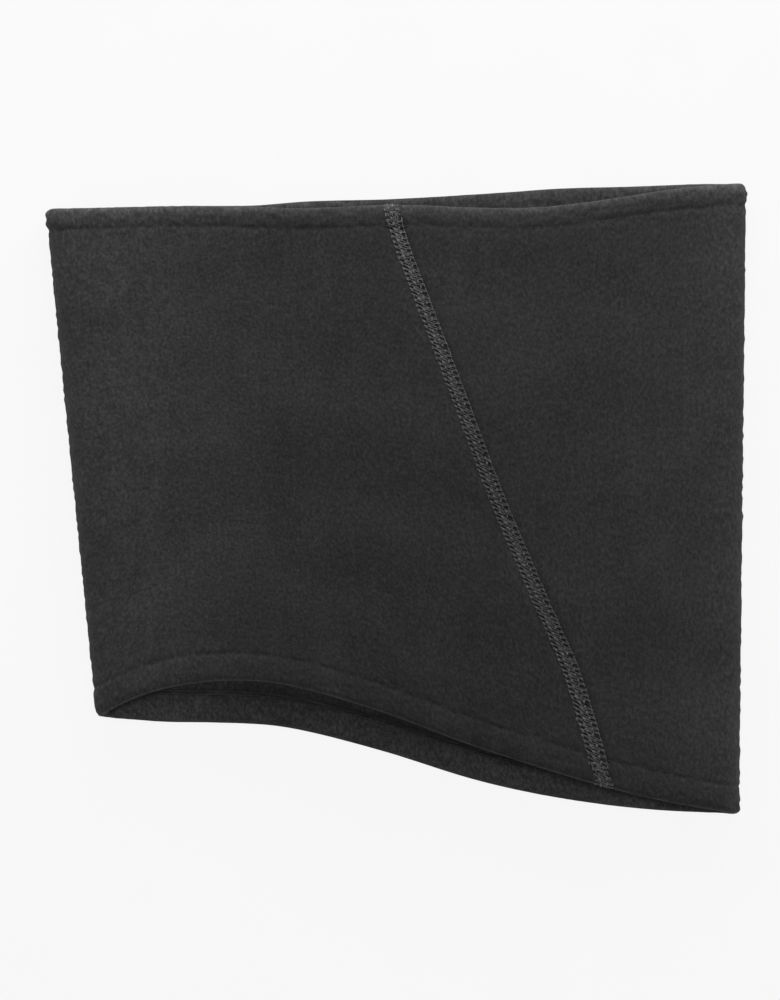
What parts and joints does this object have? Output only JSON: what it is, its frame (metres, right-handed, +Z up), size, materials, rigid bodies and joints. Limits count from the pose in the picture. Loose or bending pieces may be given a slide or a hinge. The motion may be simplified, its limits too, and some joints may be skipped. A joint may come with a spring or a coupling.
{
  "type": "fleece neck gaiter",
  "caption": "Dark fleece neck gaiter lying flat: a wide tube with a slanted flatlock seam down the front and a stitched hem at each rim.",
  "frame": {"origin": "middle of the bounding box in plan, on the surface that the lower layer rests on", "axes": "+X across the tube from the nape fold to the chest fold; +Y along the tube from the chest hem to the face hem; +Z up, away from the surface it lies on"},
  "size_m": [0.272, 0.2452, 0.0383],
  "materials": {
    "fleece": "matte",
    "seam_thread": "matte",
    "hem_thread": "matte"
  },
  "bodies": {
    "root": {"fleece_panel": "fleece", "flatlock_needle_thread_1": "seam_thread", "flatlock_needle_thread_2": "seam_thread", "flatlock_needle_thread_3": "seam_thread", "flatlock_needle_thread_4": "seam_thread", "flatlock_cover_thread": "seam_thread", "flatlock_looper_thread": "seam_thread", "top_hem_needle_thread": "hem_thread", "top_hem_looper_thread": "hem_thread", "bottom_hem_needle_thread": "hem_thread", "bottom_hem_looper_thread": "hem_thread"}
  },
  "joints": []
}
